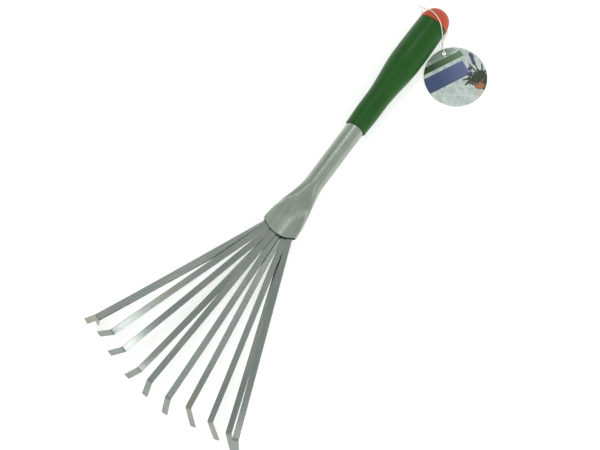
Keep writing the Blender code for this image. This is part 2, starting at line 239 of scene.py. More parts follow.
class Shader:
    """A material's node graph, with short calls for the nodes used here."""

    def __init__(self, name, roughness=0.5, metallic=0.0, **sockets):
        self.material = bpy.data.materials.new(name)
        self.material.use_nodes = True
        self.nodes = self.material.node_tree.nodes
        self.links = self.material.node_tree.links
        self.surface = self.nodes["Principled BSDF"]
        self.surface.inputs["Roughness"].default_value = roughness
        self.surface.inputs["Metallic"].default_value = metallic
        for socket, value in sockets.items():
            self.surface.inputs[socket.replace("_", " ")].default_value = value

    def set(self, socket, value):
        """A node's socket from another node's output, or from a plain value."""
        if isinstance(value, bpy.types.NodeSocket):
            self.links.new(value, socket)
        else:
            socket.default_value = value

    def place(self, kind="Object"):
        return self.nodes.new("ShaderNodeTexCoord").outputs[kind]

    def mapped(self, vector, location=(0, 0, 0), turn=0.0, scale=(1, 1, 1), inverse=False):
        node = self.nodes.new("ShaderNodeMapping")
        node.vector_type = "TEXTURE" if inverse else "POINT"
        self.set(node.inputs["Vector"], vector)
        node.inputs["Location"].default_value = location
        node.inputs["Rotation"].default_value = (0.0, 0.0, turn)
        node.inputs["Scale"].default_value = scale
        return node.outputs["Vector"]

    def noise(self, vector, scale, detail=3.0, rough=0.5):
        node = self.nodes.new("ShaderNodeTexNoise")
        self.set(node.inputs["Vector"], vector)
        node.inputs["Scale"].default_value = scale
        node.inputs["Detail"].default_value = detail
        node.inputs["Roughness"].default_value = rough
        return node.outputs["Fac"]

    def math(self, operation, first, second=0.0):
        node = self.nodes.new("ShaderNodeMath")
        node.operation = operation
        self.set(node.inputs[0], first)
        self.set(node.inputs[1], second)
        return node.outputs["Value"]

    def blend(self, first, second, share):
        """A value between two values; the share is the second one's part."""
        kept = self.math("MULTIPLY", first, 1.0 - share)
        return self.math("ADD", kept, self.math("MULTIPLY", second, share))

    def ranged(self, value, low, high, to_low=0.0, to_high=1.0):
        node = self.nodes.new("ShaderNodeMapRange")
        self.set(node.inputs["Value"], value)
        for socket, number in zip(
            ("From Min", "From Max", "To Min", "To Max"), (low, high, to_low, to_high)
        ):
            node.inputs[socket].default_value = number
        return node.outputs["Result"]

    def mix(self, share, first, second):
        """A colour between two colours; each may be a plain (r, g, b)."""
        node = self.nodes.new("ShaderNodeMix")
        node.data_type = "RGBA"
        self.set(node.inputs["Factor"], share)
        for socket, color in ((node.inputs["A"], first), (node.inputs["B"], second)):
            if isinstance(color, tuple):
                color = (*color, 1.0)
            self.set(socket, color)
        return node.outputs["Result"]

    def split(self, vector):
        node = self.nodes.new("ShaderNodeSeparateXYZ")
        self.set(node.inputs["Vector"], vector)
        return node.outputs

    def color(self, value):
        self.set(self.surface.inputs["Base Color"], value)

    def roughness(self, value):
        self.set(self.surface.inputs["Roughness"], value)

    def bump(self, height, strength, distance):
        node = self.nodes.new("ShaderNodeBump")
        node.inputs["Strength"].default_value = strength
        node.inputs["Distance"].default_value = distance
        self.set(node.inputs["Height"], height)
        self.links.new(node.outputs["Normal"], self.surface.inputs["Normal"])


def moulded_plastic(name, base, pale, roughness):
    """Satin moulded plastic: fine grain, faint flow marks along the tool and light scuffs."""
    shader = Shader(name, roughness, IOR=1.46, Specular_IOR_Level=0.28)
    place = shader.place()
    cloud = shader.noise(place, 55.0, detail=2.0)
    flow = shader.noise(shader.mapped(place, scale=(40.0, 600.0, 600.0)), 1.0, detail=2.0)
    grain = shader.noise(place, 2600.0, detail=2.0)
    scuff = shader.noise(shader.mapped(place, turn=0.5, scale=(260.0, 2100.0, 2100.0)), 1.0)
    scuff = shader.ranged(scuff, 0.66, 0.74)
    tone = shader.blend(cloud, flow, 0.4)
    mixed = shader.mix(shader.ranged(tone, 0.35, 0.65), base, pale)
    worn = tuple(0.75 * channel + 0.12 for channel in pale)
    shader.color(shader.mix(shader.math("MULTIPLY", scuff, 0.12), mixed, worn))
    shader.roughness(shader.ranged(flow, 0.3, 0.7, roughness - 0.05, roughness + 0.07))
    height = shader.math("ADD", grain, shader.math("MULTIPLY", flow, 0.6))
    shader.bump(height, 0.18, 0.00006)
    return shader.material


def drawn_steel(name, dark, light, roughness):
    """Plated tube: fine drawing lines along the tool, soft blotches and small scratches."""
    shader = Shader(name, roughness, metallic=1.0)
    place = shader.place()
    lines = shader.noise(shader.mapped(place, scale=(28.0, 2600.0, 2600.0)), 1.0, detail=4.0)
    streaks = shader.noise(shader.mapped(place, scale=(12.0, 330.0, 330.0)), 1.0, detail=2.0)
    blotches = shader.noise(place, 70.0, detail=3.0, rough=0.6)
    scratches = shader.noise(shader.mapped(place, turn=1.1, scale=(150.0, 3200.0, 900.0)), 1.0)
    scratches = shader.ranged(scratches, 0.69, 0.75)
    tone = shader.blend(streaks, blotches, 0.45)
    mixed = shader.mix(shader.ranged(tone, 0.36, 0.64), dark, light)
    bright = tuple(min(1.0, 1.35 * channel) for channel in light)
    shader.color(shader.mix(shader.math("MULTIPLY", scratches, 0.2), mixed, bright))
    shader.roughness(shader.ranged(lines, 0.3, 0.7, roughness - 0.03, roughness + 0.05))
    shader.bump(lines, 0.02, 0.00002)
    return shader.material


def strip_steel(name, dark, light, roughness):
    """Rolled strip: lines along each strip, a painted highlight along both edges and a faint warm
    or cool cast.
    """
    shader = Shader(name, roughness, metallic=1.0)
    run = shader.place("UV")
    lines = shader.noise(shader.mapped(run, scale=(45.0, 3600.0, 1.0)), 1.0, detail=4.0)
    cross = shader.noise(shader.mapped(run, scale=(420.0, 60.0, 1.0)), 1.0, detail=2.0)
    cast = shader.noise(shader.mapped(run, scale=(18.0, 40.0, 1.0)), 1.0, detail=1.0)
    across = shader.math("ABSOLUTE", shader.split(run)[1])
    # Painted highlight: the base colour is lightened toward both long edges of each strip.
    edge = shader.ranged(across, 0.46 * STRIP_WIDTH, 0.5 * STRIP_WIDTH)
    tone = shader.blend(lines, cast, 0.5)
    mixed = shader.mix(shader.ranged(tone, 0.36, 0.64), dark, light)
    warm = (light[0] * 1.05, light[1] * 0.99, light[2] * 0.86)
    mixed = shader.mix(shader.ranged(cast, 0.52, 0.68, 0.0, 0.55), mixed, warm)
    bright = tuple(min(1.0, 1.25 * channel) for channel in light)
    # The painted edge highlight is mixed into the base colour here.
    shader.color(shader.mix(shader.math("MULTIPLY", edge, 0.5), mixed, bright))
    shader.roughness(shader.ranged(lines, 0.3, 0.7, roughness - 0.05, roughness + 0.08))
    height = shader.math("ADD", lines, shader.math("MULTIPLY", cross, 0.35))
    shader.bump(height, 0.05, 0.00003)
    return shader.material


def thread(name):
    """White twisted thread with soft fibres."""
    shader = Shader(name, 0.62, Sheen_Weight=0.35, Sheen_Roughness=0.5)
    place = shader.place()
    fibres = shader.noise(place, 5200.0, detail=3.0)
    tone = shader.noise(place, 260.0, detail=2.0)
    tint = shader.mix(shader.ranged(tone, 0.35, 0.65), (0.80, 0.81, 0.78), (0.93, 0.94, 0.92))
    shader.color(tint)
    shader.bump(fibres, 0.3, 0.00005)
    return shader.material


class TagPrint:
    """The tag's printed side, built up from flat shapes in millimetres on the tag."""

    def __init__(self, shader, paper):
        self.shader = shader
        millimetres = shader.mapped(shader.place(), scale=(1000.0, 1000.0, 1000.0))
        self.page = shader.mapped(millimetres, turn=-TAG_PRINT_TURN)
        self.ripple = shader.noise(self.page, 0.5, detail=4.0, rough=0.65)
        self.color = paper

    def inside(self, centre, half_size, turn=0.0):
        """The page's place in a shape's own space, where the shape runs from -1 to 1."""
        return self.shader.mapped(
            self.page, (*centre, 0.0), math.radians(turn), (*half_size, 1000.0), inverse=True
        )

    def paint(self, mask, color):
        self.color = self.shader.mix(mask, self.color, color)

    def ellipse(self, centre, half_size, color, turn=0.0, ragged=0.0):
        """An ellipse. A ragged one has an uneven edge, like leaves or petals."""
        node = self.shader.nodes.new("ShaderNodeVectorMath")
        node.operation = "LENGTH"
        self.shader.set(node.inputs[0], self.inside(centre, half_size, turn))
        reach = node.outputs["Value"]
        if ragged:
            uneven = self.shader.ranged(self.ripple, 0.3, 0.7, -ragged, ragged)
            reach = self.shader.math("ADD", reach, uneven)
        self.paint(self.shader.ranged(reach, 1.04, 0.96), color)

    def trellis(self, spacing, turns, color):
        """Soft bars that cross each other, one set for each turn."""
        for turn in turns:
            place = self.shader.mapped(self.page, turn=math.radians(turn))
            across = self.shader.split(place)[0]
            phase = self.shader.math("MULTIPLY", across, 2.0 * math.pi / spacing)
            wave = self.shader.math("SINE", phase)
            self.paint(self.shader.ranged(wave, 0.7, 1.0, 0.0, 0.45), color)

    def rectangle(self, centre, half_size, color):
        parts = self.shader.split(self.inside(centre, half_size))
        sides = [self.shader.math("ABSOLUTE", parts[axis]) for axis in (0, 1)]
        edge = self.shader.math("MAXIMUM", *sides)
        self.paint(self.shader.ranged(edge, 1.005, 0.995), color)


def printed_card(name):
    """Coated card: a mottled ground, a faint trellis, two plain bands, a potted plant and painted
    shade at the hole.
    """
    shader = Shader(name, 0.45, Specular_IOR_Level=0.22, Coat_Weight=0.08, Coat_Roughness=0.2)
    place = shader.place()
    soft = shader.noise(shader.mapped(place, turn=0.7, scale=(90.0, 210.0, 1.0)), 1.0, detail=2.0)
    ground = shader.mix(shader.ranged(soft, 0.38, 0.66), (0.60, 0.67, 0.64), (0.40, 0.48, 0.47))
    page = TagPrint(shader, ground)
    page.trellis(8.4, (32, -44), (0.72, 0.77, 0.74))
    page.ellipse((-1.0, -5.0), (6.5, 14.0), (0.25, 0.32, 0.26), ragged=0.7)
    # Painted shade: a dark ring round the punched hole.
    page.ellipse((0.0, 0.0), (2.4, 2.4), (0.09, 0.12, 0.11))
    across = shader.split(page.page)[1]
    fade = shader.ranged(across, -16.0, 12.0)
    green = shader.mix(fade, (0.012, 0.058, 0.004), (0.14, 0.23, 0.12))
    violet = shader.mix(fade, (0.036, 0.068, 0.175), (0.135, 0.155, 0.32))
    page.rectangle((6.3, -10.0), (2.7, 23.0), green)
    page.rectangle((18.8, -11.2), (6.7, 21.2), violet)
    potted_plant(page)
    grain = shader.noise(place, 1500.0, detail=2.0)
    printed = shader.mix(shader.ranged(grain, 0.3, 0.7, 0.0, 0.05), page.color, (0.75, 0.78, 0.76))
    height = shader.split(place)[2]
    front = shader.math("GREATER_THAN", height, 0.46 * TAG_THICKNESS)
    shader.color(shader.mix(front, (0.66, 0.66, 0.62), printed))
    shader.bump(grain, 0.08, 0.00003)
    return shader.material


def potted_plant(page):
    """Dark leaves over two clay pots, with a few violet flower spikes. Any garden plant."""
    leaf_shade = page.shader.ranged(page.shader.noise(page.page, 0.9, detail=3.0), 0.42, 0.62)
    leaves = page.shader.mix(leaf_shade, (0.012, 0.018, 0.014), (0.060, 0.085, 0.042))
    violet = (0.085, 0.060, 0.16)
    clay = (0.38, 0.15, 0.065)
    page.ellipse((43.6, 8.2), (2.8, 3.6), (0.55, 0.54, 0.46), ragged=0.3)
    page.ellipse((43.6, 15.4), (4.4, 3.2), leaves, ragged=0.6)
    for centre, half_size, turn in (
        ((24.0, 17.2), (6.6, 0.6), -6), ((22.4, 14.4), (6.0, 0.6), 12),
        ((26.2, 20.8), (4.8, 0.7), -26), ((28.4, 5.6), (0.8, 4.2), -16),
        ((31.4, 4.6), (0.7, 4.0), 14),
    ):
        page.ellipse(centre, half_size, leaves, turn)
    for centre, half_size, turn in (
        ((12.6, 18.6), (3.8, 1.7), 0), ((17.6, 17.4), (3.0, 1.5), -10),
        ((21.4, 12.0), (2.0, 1.9), 0), ((25.4, 9.6), (2.2, 2.4), 0),
    ):
        page.ellipse(centre, half_size, violet, turn, ragged=0.35)
    page.ellipse((37.0, 12.0), (4.4, 4.6), clay)
    page.ellipse((34.4, 20.2), (4.2, 2.8), clay, 10)
    page.ellipse((30.8, 14.0), (5.2, 9.4), leaves, ragged=0.42)
    page.ellipse((39.0, 18.0), (5.0, 2.8), leaves, 20, ragged=0.4)


def plain_floor(name):
    """A backlit white studio surface with hardly any grain."""
    shader = Shader(name, 0.8, Emission_Color=(1.0, 1.0, 1.0, 1.0), Emission_Strength=0.48)
    mottle = shader.noise(shader.place(), 6.0, detail=2.0)
    shader.color(shader.mix(mottle, (0.80, 0.80, 0.79), (0.83, 0.83, 0.82)))
    return shader.material


# ---------------------------------------------------------------- meshes


def skin(name, rings, wrap_rings=False, uvs=None):
    """A closed mesh over rings of points. The ring list wraps round, or its ends are filled."""
    bm = bmesh.new()
    rows = [[bm.verts.new(point) for point in ring] for ring in rings]
    count = len(rows[0])
    pairs = list(zip(range(len(rows)), range(1, len(rows))))
    if wrap_rings:
        pairs.append((len(rows) - 1, 0))
    layer = bm.loops.layers.uv.new("run") if uvs else None
    for first, second in pairs:
        for side in range(count):
            after = (side + 1) % count
            corners = ((first, side), (first, after), (second, after), (second, side))
            face = bm.faces.new([rows[ring][place] for ring, place in corners])
            face.smooth = True
            if uvs:
                for loop, (ring, place) in zip(face.loops, corners):
                    loop[layer].uv = uvs[ring][place]
    if not wrap_rings:
        for ring in (0, len(rows) - 1):
            face = bm.faces.new(rows[ring])
            if uvs:
                for loop, uv in zip(face.loops, uvs[ring]):
                    loop[layer].uv = uv
    bmesh.ops.recalc_face_normals(bm, faces=bm.faces)
    mesh = bpy.data.meshes.new(name)
    bm.to_mesh(mesh)
    bm.free()
    return mesh


def add_piece(name, mesh, finish, body, nodes=(), frame=None):
    """Puts a mesh in the scene as a piece that rides on a body and stands for CAD nodes."""
    mesh.materials.clear()
    mesh.materials.append(finish)
    piece = bpy.data.objects.new(name, mesh)
    bpy.context.scene.collection.objects.link(piece)
    if frame is not None:
        piece.matrix_world = frame
    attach(piece, body)
    if nodes:
        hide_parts(*nodes)
    return piece


def turned_rings(profile):
    """Rings round the tool's axis from (x, radius) pairs in tool space."""
    rings = []
    for x, radius in profile:
        ring = []
        for side in range(TURNED_SIDES):
            angle = 2.0 * math.pi * side / TURNED_SIDES
            around = Vector((x, radius * math.cos(angle), radius * math.sin(angle)))
            ring.append(TOOL_ORIGIN + around)
        rings.append(ring)
    return rings


def arc(centre_x, centre_radius, size, start, end, steps):
    """(x, radius) pairs on a small arc, from one angle to another, in degrees."""
    pairs = []
    for step in range(steps + 1):
        angle = math.radians(start + (end - start) * step / steps)
        pairs.append((centre_x + size * math.cos(angle), centre_radius + size * math.sin(angle)))
    return pairs


def grip_radius(x):
    """The outer radius of the grip at a distance from its lower end."""
    radius = NECK_RADIUS
    radius += (BELLY_RADIUS - NECK_RADIUS) * smoothstep(x, NECK_END, BELLY_START)
    radius -= LIP_TAPER * (1.0 - smoothstep(x, 0.0, LIP_LENGTH))
    radius -= TOP_TAPER * smoothstep(x, TOP_TAPER_START, GRIP_LENGTH)
    return radius


def make_grip(finish):
    """The moulded grip, with a rounded lip at each end and its bore."""
    lip_radius = grip_radius(LIP_ROUND)
    top_radius = grip_radius(GRIP_LENGTH)
    profile = arc(LIP_ROUND, lip_radius - LIP_ROUND, LIP_ROUND, 180, 90, 6)
    body_length = GRIP_LENGTH - LIP_ROUND - TOP_ROUND
    for step in range(1, GRIP_STATIONS):
        x = LIP_ROUND + body_length * step / GRIP_STATIONS
        profile.append((x, grip_radius(x)))
    profile += arc(GRIP_LENGTH - TOP_ROUND, top_radius - TOP_ROUND, TOP_ROUND, 90, 0, 4)
    profile += [
        (GRIP_LENGTH, GRIP_CAVITY_RADIUS),
        (GRIP_BORE_LENGTH + GRIP_CAVITY_CONE, GRIP_CAVITY_RADIUS),
        (GRIP_BORE_LENGTH, GRIP_BORE_RADIUS),
        (GRIP_BORE_CHAMFER, GRIP_BORE_RADIUS),
        (0.0, GRIP_BORE_RADIUS + GRIP_BORE_CHAMFER),
    ]
    mesh = skin("grip_moulding", turned_rings(profile), wrap_rings=True)
    mesh.set_sharp_from_angle(angle=math.radians(50))
    add_piece("grip_moulding", mesh, finish, "rake", ["grip"])


def dome_radius(x):
    """The radius of the cap's dome at a place on the tool's X axis."""
    height = min(max((x - GRIP_LENGTH) / CAP_DOME_HEIGHT, 0.0), 1.0)
    return grip_radius(GRIP_LENGTH) * (1.0 - height**CAP_DOME_FULLNESS) ** (1.0 / CAP_DOME_FULLNESS)


def hole_cutter():
    """A cylinder along Y whose ends flare, so that the hole it cuts has soft lips."""
    steps = 6
    stations = []
    for step in range(steps + 1):
        share = step / steps
        y = HANG_HOLE_FLARE_START + share * HANG_HOLE_FLARE_LENGTH
        stations.append((y, HANG_HOLE_RADIUS + HANG_HOLE_FLARE * share * share))
    stations.append((HANG_CUTTER_REACH, stations[-1][1] + HANG_CUTTER_SPREAD))
    stations = [(-y, radius) for y, radius in reversed(stations)] + stations
    rings = []
    for y, radius in stations:
        ring = []
        for side in range(HANG_HOLE_SIDES):
            angle = 2.0 * math.pi * side / HANG_HOLE_SIDES
            around = Vector((radius * math.cos(angle), y, radius * math.sin(angle)))
            ring.append(TOOL_ORIGIN + Vector((HANG_HOLE_X, 0.0, 0.0)) + around)
        rings.append(ring)
    mesh = skin("hole_cutter", rings)
    cutter = bpy.data.objects.new("hole_cutter", mesh)
    bpy.context.scene.collection.objects.link(cutter)
    return cutter


def cut_mesh(mesh, cutter):
    """The mesh with the cutter taken away from it. The cutter is used up."""
    blank = bpy.data.objects.new("blank", mesh)
    bpy.context.scene.collection.objects.link(blank)
    boolean = blank.modifiers.new("cut", "BOOLEAN")
    boolean.operation = "DIFFERENCE"
    boolean.solver = "EXACT"
    boolean.object = cutter
    graph = bpy.context.evaluated_depsgraph_get()
    result = bpy.data.meshes.new_from_object(blank.evaluated_get(graph))
    bpy.data.objects.remove(blank)
    bpy.data.objects.remove(cutter)
    return result


def make_end_cap(finish):
    """The domed cap with its spigot and the hanging hole across it."""
    shoulder_x = GRIP_LENGTH + CAP_SHOULDER_GAP
    shoulder_radius = dome_radius(shoulder_x + TOP_ROUND)
    spigot_end_x = GRIP_LENGTH - CAP_SPIGOT_LENGTH
    hollow_radius = CAP_SPIGOT_RADIUS - CAP_SPIGOT_WALL
    hollow_top_x = GRIP_LENGTH - CAP_SPIGOT_WALL
    profile = [
        (hollow_top_x, POLE_RADIUS),
        (hollow_top_x, hollow_radius),
        (spigot_end_x, hollow_radius),
        (spigot_end_x, CAP_SPIGOT_RADIUS - CAP_SPIGOT_CHAMFER),
        (spigot_end_x + CAP_SPIGOT_CHAMFER, CAP_SPIGOT_RADIUS),
        (shoulder_x, CAP_SPIGOT_RADIUS),
    ]
    profile += arc(shoulder_x + TOP_ROUND, shoulder_radius - TOP_ROUND, TOP_ROUND, 180, 90, 4)
    first = math.acos((2.0 * TOP_ROUND + CAP_SHOULDER_GAP) / CAP_DOME_HEIGHT)
    for step in range(CAP_STATIONS):
        x = GRIP_LENGTH + CAP_DOME_HEIGHT * math.cos(first * (1.0 - step / CAP_STATIONS))
        profile.append((x, dome_radius(x)))
    profile.append((GRIP_LENGTH + CAP_DOME_HEIGHT, POLE_RADIUS))
    mesh = cut_mesh(skin("end_cap_dome", turned_rings(profile)), hole_cutter())
    mesh.shade_smooth()
    mesh.set_sharp_from_angle(angle=math.radians(50))
    add_piece("end_cap_dome", mesh, finish, "rake", ["end_cap"])


def crimp_share(x):
    """0 where the socket is a round tube, 1 where it is pressed flat."""
    return 1.0 - smoothstep(x, CRIMP_START_X, FLARE_START_X)


def flare_half_width(x):
    share = 1.0 - smoothstep(x, MOUTH_X, FLARE_START_X)
    return TUBE_RADIUS + (MOUTH_HALF_WIDTH - TUBE_RADIUS) * share**FLARE_POWER


def crescent_height(x, y):
    """The height of the socket's middle surface above the centre line."""
    across = y / MOUTH_HALF_WIDTH
    return crimp_share(x) * (MOUTH_CAMBER * across * across - MOUTH_DROP)


def socket_point(x, angle, inset):
    """A point of the socket's wall in tool space, inset inwards from its outer face."""
    share = crimp_share(x)
    half_width = flare_half_width(x) - inset
    half_thickness = TUBE_RADIUS + (MOUTH_HALF_THICKNESS - TUBE_RADIUS) * share - inset
    fullness = 1.0 + (MOUTH_END_FULLNESS - 1.0) * share
    y = half_width * math.cos(angle)
    rise = abs(math.sin(angle)) ** fullness
    z = math.copysign(half_thickness * rise, math.sin(angle))
    across = y / half_width
    bulge = MOUTH_BULGE * smoothstep(-x, -FLARE_START_X, -MOUTH_X) * (1.0 - across * across)
    return Vector((x - bulge, y, z + crescent_height(x, y)))


def make_fan_socket(finish):
    """The flared socket as one sheet: outside, rolled edge at each end, and inside."""
    edge = 0.5 * SHEET
    along = [TUBE_TOP_X - edge]
    plain_length = PLAIN_START_X - FLARE_START_X
    for step in range(PLAIN_STATIONS):
        along.append(PLAIN_START_X - plain_length * step / PLAIN_STATIONS)
    flare_length = FLARE_START_X - MOUTH_X - edge
    for step in range(FLARE_STATIONS + 1):
        along.append(FLARE_START_X - flare_length * step / FLARE_STATIONS)
    rings = [(x, 0.0) for x in along]
    for step in range(1, 6):
        angle = math.pi * step / 6
        rings.append((MOUTH_X + edge - edge * math.sin(angle), edge - edge * math.cos(angle)))
    rings += [(x, SHEET) for x in reversed(along)]
    for step in range(1, 4):
        angle = math.pi * step / 4
        rings.append((TUBE_TOP_X - edge + edge * math.sin(angle), edge + edge * math.cos(angle)))
    points = []
    for x, inset in rings:
        folded = LIP_FOLD * smoothstep(-x, -MOUTH_X - LIP_FOLD_START, -MOUTH_X - LIP_FOLD_END)
        ring = []
        for side in range(SOCKET_SIDES):
            turn = 2.0 * math.pi * side / SOCKET_SIDES
            crowded = turn - SOCKET_CROWDING * crimp_share(x) * math.sin(2.0 * turn)
            fold = folded * inset / SHEET * max(math.sin(crowded), 0.0)
            ring.append(TOOL_ORIGIN + socket_point(x, crowded, inset + fold))
        points.append(ring)
    mesh = skin("flared_socket", points, wrap_rings=True)
    mesh.set_sharp_from_angle(angle=math.radians(60))
    add_piece("flared_socket", mesh, finish, "rake", ["fan_socket"])


def hook_drop(prong):
    """How far the hook reaches below the middle of the strip at its bend."""
    fall = math.sin(prong.hook_angle) * math.cos(prong.tilt)
    fall -= math.cos(prong.hook_angle) * math.sin(prong.hook_skew) * math.sin(prong.tilt)
    corner = 0.5 * STRIP_WIDTH * math.sin(abs(prong.tilt))
    return prong.hook_length * fall + corner + 0.5 * STRIP_THICKNESS


def strip_frame(prong, run):
    """The middle of a strip and its along and across directions, at a run past the mouth."""
    total = MOUTH_X - prong.bend_x
    slope = (prong.bend_y - prong.mouth_y) / total
    past = 0.5 * (run + math.hypot(run, FAN_CORNER))
    inside = 1.0 if run > 0.0 else flare_half_width(MOUTH_X - run) / MOUTH_HALF_WIDTH
    mouth_y = prong.mouth_y * inside
    mouth_z = crescent_height(MOUTH_X, mouth_y) + prong.layer * LAYER_PITCH
    bend_z = hook_drop(prong) + TIP_CLEARANCE + prong.lift - TOOL_ORIGIN.z
    share = min(past / total, 1.0)
    rise = (bend_z - mouth_z) * share**SETTLE_POWER
    middle = Vector((MOUTH_X - run, mouth_y + slope * past, mouth_z + rise))
    mouth_tilt = math.atan(2.0 * MOUTH_CAMBER * mouth_y / MOUTH_HALF_WIDTH**2)
    tilt = mouth_tilt + (prong.tilt - mouth_tilt) * share**SETTLE_POWER
    turn = 0.5 * slope * (1.0 + run / math.hypot(run, FAN_CORNER))
    climb = SETTLE_POWER * (bend_z - mouth_z) * share ** (SETTLE_POWER - 1.0) / total
    along = Vector((-1.0, turn, climb)).normalized()
    level = Vector((along.y, -along.x, 0.0)).normalized()
    across = level * math.cos(tilt) + Vector((0.0, 0.0, math.sin(tilt)))
    across = (across - along * across.dot(along)).normalized()
    return middle, along, across


def strip_stations(prong):
    """(middle, along, across) along a strip: the tang, the blade, the bend and the hook."""
    total = MOUTH_X - prong.bend_x
    runs = [-TANG_LENGTH + TANG_LENGTH * step / TANG_STATIONS for step in range(TANG_STATIONS)]
    runs += [total * (step / BLADE_STATIONS) ** 1.2 for step in range(BLADE_STATIONS + 1)]
    stations = [strip_frame(prong, run) for run in runs]
    middle, along, across = stations[-1]
    down = along.cross(across)
    if down.z > 0.0:
        down.negate()
    along = along * math.cos(prong.hook_skew) + across * math.sin(prong.hook_skew)
    for step in range(1, BEND_STATIONS + 1):
        angle = prong.hook_angle * step / BEND_STATIONS
        forward = along * math.sin(angle) + down * (1.0 - math.cos(angle))
        heading = along * math.cos(angle) + down * math.sin(angle)
        stations.append((middle + forward * HOOK_BEND_RADIUS, heading, across))
    bend_end, hook, across = stations[-1]
    straight = prong.hook_length - HOOK_BEND_RADIUS * math.tan(prong.hook_angle / 2.0)
    for step in range(1, HOOK_STATIONS + 1):
        stations.append((bend_end + hook * straight * step / HOOK_STATIONS, hook, across))
    return stations


def strip_section():
    """(across, up) pairs round a strip's section, with rounded edges, from the middle below.

    A point close to each rounded edge keeps the smooth shading off the flat faces.
    """
    half_width = 0.5 * STRIP_WIDTH - STRIP_EDGE_ROUND
    half_height = 0.5 * STRIP_THICKNESS - STRIP_EDGE_ROUND
    flat_end = half_width - STRIP_FLAT_MARGIN
    section = [(0.0, -0.5 * STRIP_THICKNESS), (flat_end, -0.5 * STRIP_THICKNESS)]
    for corner, (side, level) in enumerate(((1, -1), (1, 1), (-1, 1), (-1, -1))):
        for step in range(4):
            angle = math.radians(-90.0 + 90.0 * corner + 30.0 * step)
            section.append(
                (
                    side * half_width + STRIP_EDGE_ROUND * math.cos(angle),
                    level * half_height + STRIP_EDGE_ROUND * math.sin(angle),
                )
            )
        if corner == 1:
            section += [(across, 0.5 * STRIP_THICKNESS) for across in (flat_end, 0.0, -flat_end)]
    section.append((-flat_end, -0.5 * STRIP_THICKNESS))
    return section


def make_prong(number, prong, finish):
    """One strip as a closed skin along its stations, with its run and width as UVs."""
    section = strip_section()
    rings = []
    uvs = []
    run = STRIP_PATTERN_STEP * number
    last = None
    for middle, along, across in strip_stations(prong):
        if last is not None:
            run += (middle - last).length
        last = middle
        up = across.cross(along).normalized()
        rings.append([TOOL_ORIGIN + middle + across * a + up * b for a, b in section])
        uvs.append([(run, a) for a, _ in section])
    name = f"strip_{number:02d}"
    mesh = skin(name, rings, uvs=uvs)
    mesh.set_sharp_from_angle(angle=math.radians(50))
    add_piece(name, mesh, finish, "rake", [f"prong_{number:02d}"])


# ---------------------------------------------------------------- tag and string


def make_hang_tag(finish):
    """The round card with its punched hole and slightly softened edges."""
    frame = Matrix.Translation(TAG_HOLE)
    frame = frame @ Matrix.Rotation(TAG_HEADING, 4, "Z") @ Matrix.Rotation(TAG_SLOPE, 4, "Y")
    bm = bmesh.new()
    half = 0.5 * TAG_THICKNESS
    soft = TAG_EDGE_ROUND
    outline = [(-half, TAG_RADIUS - soft), (-half + soft, TAG_RADIUS)]
    outline += [(half - soft, TAG_RADIUS), (half, TAG_RADIUS - soft)]
    rim = [(half, TAG_HOLE_RADIUS + soft), (half - soft, TAG_HOLE_RADIUS)]
    rim += [(-half + soft, TAG_HOLE_RADIUS), (-half, TAG_HOLE_RADIUS + soft)]
    rows = []
    for centre_x, places in ((TAG_HOLE_TO_CENTRE, outline), (0.0, rim)):
        for z, radius in places:
            row = []
            for side in range(TAG_SIDES):
                angle = 2.0 * math.pi * side / TAG_SIDES
                place = (centre_x + radius * math.cos(angle), radius * math.sin(angle), z)
                row.append(bm.verts.new(place))
            rows.append(row)
    for first, second in zip(rows, rows[1:] + rows[:1]):
        for side in range(TAG_SIDES):
            after = (side + 1) % TAG_SIDES
            bm.faces.new((first[side], first[after], second[after], second[side]))
    bmesh.ops.recalc_face_normals(bm, faces=bm.faces)
    mesh = bpy.data.meshes.new("printed_tag")
    bm.to_mesh(mesh)
    bm.free()
    return add_piece("printed_tag", mesh, finish, "tag", ["hang_tag"], frame)


def smooth_route(points, spacing):
    """Points at an even spacing along a Catmull-Rom curve through the given points."""
    padded = [points[0] * 2.0 - points[1]] + points + [points[-1] * 2.0 - points[-2]]
    fine = []
    for before, start, end, after in zip(padded, padded[1:], padded[2:], padded[3:]):
        for step in range(ROUTE_STEPS):
            t = step / ROUTE_STEPS
            linear = (end - before) * t
            square = (2.0 * before - 5.0 * start + 4.0 * end - after) * t**2
            cube = (3.0 * start - before - 3.0 * end + after) * t**3
            fine.append(0.5 * (2.0 * start + linear + square + cube))
    fine.append(points[-1])
    lengths = [0.0]
    for first, second in zip(fine, fine[1:]):
        lengths.append(lengths[-1] + (second - first).length)
    count = round(lengths[-1] / spacing)
    even = []
    index = 0
    for number in range(count + 1):
        target = lengths[-1] * number / count
        while index < len(fine) - 2 and lengths[index + 1] < target:
            index += 1
        share = (target - lengths[index]) / (lengths[index + 1] - lengths[index])
        even.append(fine[index].lerp(fine[index + 1], share))
    return even


def twisted_rings(path, radius, pitch, plies=3, depth=0.16):
    """Rings along a path whose lobed section turns, like plies laid round each other."""
    side = Vector((0.0, 0.0, 1.0))
    run = 0.0
    rings = []
    for index, point in enumerate(path):
        ahead = path[min(index + 1, len(path) - 1)]
        behind = path[max(index - 1, 0)]
        tangent = (ahead - behind).normalized()
        side = (side - tangent * side.dot(tangent)).normalized()
        other = tangent.cross(side)
        if index:
            run += (point - path[index - 1]).length
        turn = 2.0 * math.pi * run / pitch
        ring = []
        for step in range(THREAD_SIDES):
            angle = 2.0 * math.pi * step / THREAD_SIDES
            lobe = radius * (1.0 - depth * (1.0 - math.cos(plies * angle)) / 2.0)
            direction = side * math.cos(angle + turn) + other * math.sin(angle + turn)
            ring.append(point + direction * lobe)
        rings.append(ring)
    return rings


def make_string(finish):
    """The loop of thread, from the knot over the cap to the tag and back through the hole."""
    route = [Vector(point) * MM for point in STRING_ROUTE]
    path = smooth_route(route, STRING_SPACING)
    mesh = skin("tag_thread", twisted_rings(path, STRING_DIAMETER / 2.0, STRING_TWIST_PITCH))
    string = add_piece("tag_thread", mesh, finish, "rake", ["tag_string"])
    return string, path


